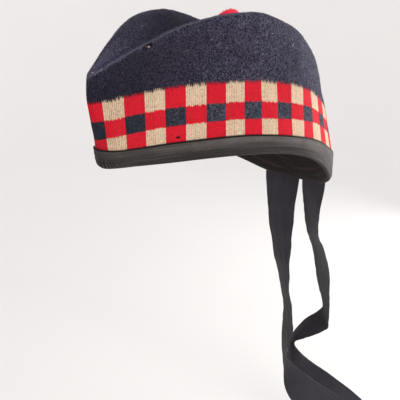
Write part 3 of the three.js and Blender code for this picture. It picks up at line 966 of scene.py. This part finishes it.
def make_binding(material):
    """The folded ribbon: its section swept round the rim, with soft creases and the puckers."""
    t = np.arange(BINDING_SAMPLES) / BINDING_SAMPLES
    section = catmull(np.pad(np.array(BINDING_SECTION), ((0, 0), (0, 1))), True, t)[:, :2]
    outside = ramp(section[:, 0], -0.2, 0.8) * (section[:, 1] < 14.2)
    turn = np.gradient(section, axis=0)
    face = unit(np.stack([turn[:, 1], -turn[:, 0]], -1))
    if np.sum(section[:, 0] * turn[:, 1] - section[:, 1] * turn[:, 0]) < 0:
        face = -face
    u = np.arange(BINDING_COLUMNS) / BINDING_COLUMNS
    squares = squares_at(u)
    arc = SQUARE * squares
    ground = wall(u, 0.0)
    gathered = bell(arc, PUCKERS["arc"], PUCKERS["spread"])
    rows = []
    ripples = []
    for (offset, height), side, out in zip(section, outside, face):
        place = np.stack([ground[:, 0], ground[:, 1], np.full(len(u), height)], -1)
        field = place / (34, 34, 2.3)
        crease = 0.16 * smooth_noise(field, 2.0, 21) + 0.30 * smooth_noise(place / (55, 55, 6), 2.2, 22)
        slanted = arc + PUCKERS["slant"] * height + 1.3 * smooth_noise(field * (9, 9, 1.6), 2.0, 23)
        ripple = np.sin(math.tau * slanted / PUCKERS["wavelength"])
        ripples.append(side * gathered * np.clip(1.3 - height / 6, 0, 1) * ripple)
        move = np.clip(side * crease + PUCKERS["depth"] * ripples[-1], -0.45, 0.8)
        middle = height + out[1] * move * 0.5
        if offset < 0:
            rows.append(wall(u, middle, offset))
        else:
            rows.append(wall(u, middle) + outward(RIM, u) * (offset + out[0] * move)[:, None])
    grid = np.array(rows)
    # The ribbon's coordinates: along the rim, across from the outer edge, and painted light on the outer
    # top, with painted shade lower down and painted highlights and shade on the puckers
    painted_lighting = outside * np.clip((section[:, 1] - 5.0) / 6.0, 0.04, 1)
    # Painted light round the rim: paler from the temples back with the navy's painted sheen, and less past
    # eleven squares from the fold.
    painted_light_round = (0.34 + 0.62 * painted_sheen(squares)) * (1 - 0.45 * ramp(squares_from_fold(squares), 11, 4))
    lip = (section[:, 0] > 0.5) & (section[:, 1] > 13.3)
    ribbon = np.zeros(grid.shape)
    ribbon[..., 0] = arc
    ribbon[..., 1] = walked(section)[:, None]
    ribbon[..., 2] = painted_lighting[:, None] * painted_light_round[None] + 1.1 * np.array(ripples)
    ribbon[lip, :, 2] = LIP_SHADOW
    faces = grid_faces(*grid.shape[:2], True)
    period = SQUARES_ROUND * SQUARE
    thing = field_object("ribbon_binding", grid, faces, material, "ribbon", ribbon, period)
    face_out(thing)
    stand_for(thing, ["rim_binding"])


# ---- tails

TAIL = (0.033, 0.030, 0.041, 1)
TAIL_WORN_AND_LIT = (0.090, 0.085, 0.102, 1)
TAIL_BROWN = (0.040, 0.030, 0.028, 1)
TAIL_THICKNESS = 0.5
TAIL_ALONG = 400
TAIL_ACROSS = 30

# Painted light on a tail: where it is palest, in mm from the seam, and how far that reaches
TAIL_PAINTED_LIGHT = {"along": 105, "reach": 45}


def make_tail(name, node, rows, seed, lit_paling, material):
    """One ribbon end as a thin closed strip. lit_paling is how much paler it is painted where light falls
    on it.
    """
    t = np.linspace(0, 1, TAIL_ALONG)
    left, right = (catmull(edge, False, t) for edge in np.hsplit(np.array(rows), 2))
    share = np.linspace(0, 1, TAIL_ACROSS)
    middle = (left + right) / 2
    length = walked(middle)
    grid = left[:, None] * (1 - share[:, None]) + right[:, None] * share[:, None]
    normal = unit(np.cross((right - left), np.gradient(middle, axis=0)))
    along, across = np.meshgrid(length, share * TAIL_WIDTH, indexing="ij")
    flat = np.stack([along, across, 0 * along], -1)
    ease = ramp(along, 18, 30)
    waves = 0.5 * smooth_noise(flat * (1, 0.35, 1), 30, seed) + 0.14 * smooth_noise(flat, 9, seed + 1)
    cup = 0.7 * ((2 * share[None] - 1) ** 2 - 0.33) * np.sin(along / 47 + seed)
    grid = grid + normal[:, None] * ((waves + cup) * ease)[..., None]
    selvedge = 1 + 0.5 * bell(np.minimum(share, 1 - share) * TAIL_WIDTH, 0.9, 0.5)
    half = 0.5 * TAIL_THICKNESS * selvedge[None, :, None] * normal[:, None]
    loops = np.concatenate([grid + half, (grid - half)[:, ::-1]], axis=1)
    painted_pale = 0.12 + lit_paling * bell(along, TAIL_PAINTED_LIGHT["along"], TAIL_PAINTED_LIGHT["reach"])
    values = np.stack([along, across, painted_pale], -1)
    values = np.concatenate([values, values[:, ::-1]], axis=1)
    around = 2 * TAIL_ACROSS
    first = np.array([[i, i + 1, around - 2 - i, around - 1 - i] for i in range(TAIL_ACROSS - 1)])
    last = (first + (TAIL_ALONG - 1) * around)[:, ::-1]
    faces = np.concatenate([grid_faces(TAIL_ALONG, around, False), first, last])
    thing = field_object(name, loops, faces, material, "ribbon", values)
    face_out(thing)
    stand_for(thing, [node])


# ---- toorie

TOORIE = {"width": 24.4, "height": 28.0, "y": 5.2, "bottom": 86.9}
YARNS = 3600

# Where the yarns start and how big the core is, as shares of the ball, and how much it tapers upward
YARN_START = 0.62
CORE = 0.80
CORE_DETAIL = 4
TAPER = 0.12


def toorie_material():
    n = material_nodes("toorie_wool")
    place = n.place()
    shade = n.noise(place, 0.7, 3.0, 0.6)
    depth, tone, _ = n.attribute("yarn")
    colour = n.mix(n.remap(shade, 0.3, 0.7), (0.95, 0.022, 0.062, 1), (1.0, 0.045, 0.10, 1))
    colour = n.mix(n.times(tone, 0.35), colour, (1.0, 0.10, 0.16, 1))
    # Painted shade deep in the ball: yarn nearer the core is darker.
    colour = n.mix(n.remap(depth, 0.6, 0.9, 0.45, 0.0), colour, (0.5, 0.006, 0.02, 1))
    normal = n.bump(n.noise(place, 4.0, 2.0), 0.12, 0.6)
    return n.surface(
        Base_Color=colour, Roughness=0.9, Normal=normal, Specular_IOR_Level=0.2,
        Sheen_Weight=0.35, Sheen_Roughness=0.4, Sheen_Tint=(1.0, 0.55, 0.6, 1),
    )


def spikes(bases, directions, bends, radii, sides, steps, taper):
    """Closed tapering strands: each from a base along a direction, with a bend at its end.

    Returns the vertices, the triangles and the count of vertices in a strand.
    """
    reference = np.where(np.abs(directions[:, 2:3]) < 0.8, (0, 0, 1.0), (1.0, 0, 0))
    first = unit(np.cross(directions, reference))
    second = unit(np.cross(directions, first))
    angles = np.arange(sides) * math.tau / sides
    ring = np.cos(angles)[None, :, None] * first[:, None] + np.sin(angles)[None, :, None] * second[:, None]
    levels = []
    for step in range(steps):
        t = step / steps
        centre = bases + directions * t + bends * t * t
        levels.append(centre[:, None] + ring * (radii * (1 - (1 - taper) * t))[:, None, None])
    tip = (bases + directions + bends)[:, None]
    vertices = np.concatenate(levels + [tip], axis=1)
    per = sides * steps + 1
    top = sides * (steps - 1)
    triangles = [[0, i + 1, i] for i in range(1, sides - 1)]
    for low in range(0, top, sides):
        for i in range(sides):
            a, b = low + i, low + (i + 1) % sides
            triangles += [[a, b, b + sides], [a, b + sides, a + sides]]
    triangles += [[top + i, top + (i + 1) % sides, per - 1] for i in range(sides)]
    offsets = (np.arange(len(bases)) * per)[:, None, None]
    return vertices.reshape(-1, 3), (np.array(triangles) + offsets).reshape(-1, 3), per


def make_toorie(material):
    """A trimmed ball of cut yarn ends round a core, darkened inward as painted shade."""
    middle = np.array((0, TOORIE["y"], TOORIE["bottom"] + TOORIE["height"] / 2))
    reach = np.array((TOORIE["width"] / 2, TOORIE["width"] / 2, TOORIE["height"] / 2))
    index = np.arange(YARNS) + 0.5
    z = 1 - 2 * index / YARNS
    turn = index * math.pi * (3 - math.sqrt(5))
    ray = np.stack([np.sqrt(1 - z * z) * np.cos(turn), np.sqrt(1 - z * z) * np.sin(turn), z], -1)
    ray = unit(ray + rng.normal(scale=0.05, size=ray.shape))
    ray[:, :2] *= 1 - TAPER * np.clip(ray[:, 2:], 0, 1)
    trim = 1 + 0.03 * smooth_noise(ray, 1.1, 31) + rng.uniform(-0.03, 0.03, YARNS)
    bases = middle + ray * reach * YARN_START
    directions = ray * reach * (trim - YARN_START)[:, None]
    bends = rng.normal(scale=0.55, size=ray.shape)
    radii = rng.uniform(0.46, 0.66, YARNS)
    vertices, faces, per = spikes(bases, directions, bends, radii, 5, 3, 0.8)
    depth = norm((vertices - middle) / reach, axis=1)
    tone = np.repeat(rng.uniform(0, 1, YARNS), per)
    yarn = np.stack([depth, tone, 0 * depth], -1)
    core, core_faces = core_ball(middle, reach * CORE)
    # The core takes the darkest painted shade.
    dark = np.broadcast_to((0.6, 0, 0), core.shape)
    values = np.concatenate([yarn, dark])
    faces = np.concatenate([faces, core_faces + len(vertices)])
    vertices = np.concatenate([vertices, core])
    thing = field_object("wool_toorie", vertices, faces, material, "yarn", values)
    stand_for(thing, ["toorie"])


def core_ball(middle, reach):
    """The points and triangles of the ball's uneven core."""
    ball = bmesh.new()
    bmesh.ops.create_icosphere(ball, subdivisions=CORE_DETAIL, radius=1.0)
    points = np.array([v.co[:] for v in ball.verts])
    faces = np.array([[v.index for v in f.verts] for f in ball.faces])
    ball.free()
    bumpy = 1 + 0.04 * smooth_noise(points, 0.5, 33)
    return middle + points * bumpy[:, None] * reach, faces


# ---- camera, lights, floor

CAMERA = {"azimuth": 43.46, "elevation": 17.09, "roll": 3.58, "distance": 460.0, "focal": 51.1}
CAMERA_TARGET = (1.96, -18.2, -33.7)
FLOOR = -340.0
FLOOR_COLUMNS = 96
SWEEP = {"flat": 1500.0, "radius": 900.0, "height": 1400.0}
GLOW = 0.55

# Lights: mm to the camera's right, up and back from the cap's middle, then size, power and colour
MIDDLE = (0, 0, 40)
LIGHTS = {
    "side_light": ((900, -60, -600), 700, 20, (1.0, 0.985, 0.98)),
    "front_light": ((700, 200, 1100), 900, 13, (1.0, 0.98, 0.96)),
}


def make_camera():
    """The camera, turned by its roll. Returns its right, up and back."""
    azimuth, elevation, roll = (math.radians(CAMERA[key]) for key in ("azimuth", "elevation", "roll"))
    back = Vector((
        math.sin(azimuth) * math.cos(elevation),
        -math.cos(azimuth) * math.cos(elevation),
        math.sin(elevation),
    ))
    level = Vector((math.cos(azimuth), math.sin(azimuth), 0))
    upright = back.cross(level)
    right = level * math.cos(roll) + upright * math.sin(roll)
    up = back.cross(right)
    data = bpy.data.cameras.new("camera")
    data.lens = CAMERA["focal"]
    data.sensor_width = 36.0
    data.clip_start = 0.01
    camera = in_scene("camera", data)
    camera.matrix_world = Matrix((right, up, back)).transposed().to_4x4()
    camera.location = (Vector(CAMERA_TARGET) + back * CAMERA["distance"]) * MM
    scene.camera = camera
    return right, up, back


def make_floor():
    """A round pale floor that curves up into a wall on every side."""
    profile = [(r, 0.0) for r in np.linspace(0, SWEEP["flat"], 6)[1:]]
    for angle in np.linspace(0, math.pi / 2, 16)[1:]:
        out = SWEEP["flat"] + SWEEP["radius"] * math.sin(angle)
        profile.append((out, SWEEP["radius"] * (1 - math.cos(angle))))
    profile.append((SWEEP["flat"] + SWEEP["radius"], SWEEP["height"]))
    turn = np.arange(FLOOR_COLUMNS) * math.tau / FLOOR_COLUMNS
    points = [(r * math.cos(a), r * math.sin(a), FLOOR + z) for r, z in profile for a in turn]
    faces = grid_faces(len(profile), FLOOR_COLUMNS, False)[:, ::-1].tolist()
    faces += [[i, (i + 1) % FLOOR_COLUMNS, len(points)] for i in range(FLOOR_COLUMNS)]
    n = material_nodes("pale_paper")
    shade = n.mix(n.noise(n.place(), 0.004), (0.34, 0.33, 0.325, 1), (0.38, 0.37, 0.365, 1))
    glow = {"Emission_Color": (1.0, 0.965, 0.95, 1), "Emission_Strength": GLOW}
    paper = n.surface(Base_Color=shade, Roughness=0.9, **glow)
    smooth_object("pale_floor", np.array([*points, (0, 0, FLOOR)]), faces, paper)


def make_world():
    """Light from the sides, less from above."""
    scene.world = bpy.data.worlds.new("soft_studio")
    n = Nodes(scene.world)
    parts = n.add("SeparateXYZ", {0: n.add("TexCoord", {}, "Generated")}, None)
    strength = n.remap(parts[2], 0.2, 0.8, 0.75, 0.42)
    light = n.add("Background", {"Color": (0.98, 0.97, 1.0, 1), "Strength": strength})
    n.add("OutputWorld", {"Surface": light}, None)


def make_lights(right, up, back):
    for name, ((x, y, z), size, power, colour) in LIGHTS.items():
        away = right * x + up * y + back * z
        data = bpy.data.lights.new(name, "AREA")
        data.shape = "DISK"
        data.size = size * MM
        data.energy = power
        data.color = colour
        light = in_scene(name, data)
        light.location = (Vector(MIDDLE) + away) * MM
        light.rotation_euler = (-away).to_track_quat("-Z", "Y").to_euler()


axes = make_camera()
make_floor()
make_world()
make_lights(*axes)
scene.view_settings.view_transform = "Standard"

wool = wool_material("knit_wool")
fibres = fibre_material("loose_wool")
crown_grid, crown_knit, crown_normal = make_crown(wool)
band_grid, band_knit = make_band(wool)
hole = crown_grid[HOLE["row"], int(HOLE["column"])]
make_nap("crown_nap", CROWN_NAP, crown_grid, crown_knit, 0, fibres, hole)
make_nap("dicing_nap", DICING_NAP, band_grid, band_knit, FREE_BAND_ROW, fibres, hole)
make_binding(ribbon_material("binding_ribbon", 0.55, BINDING, BINDING_WORN_AND_LIT, BINDING_BROWN, 0.10, 1.5))
tail_cloth = ribbon_material("tail_ribbon", 0.7, TAIL, TAIL_WORN_AND_LIT, TAIL_BROWN, 0.2, 0.7)
make_tail("long_tail", "outer_tail", OUTER_TAIL, 41, 1.0, tail_cloth)
make_tail("short_tail", "inner_tail", INNER_TAIL, 43, 0.0, tail_cloth)
make_toorie(toorie_material())
make_strands(crown_grid, crown_normal, strands_material())
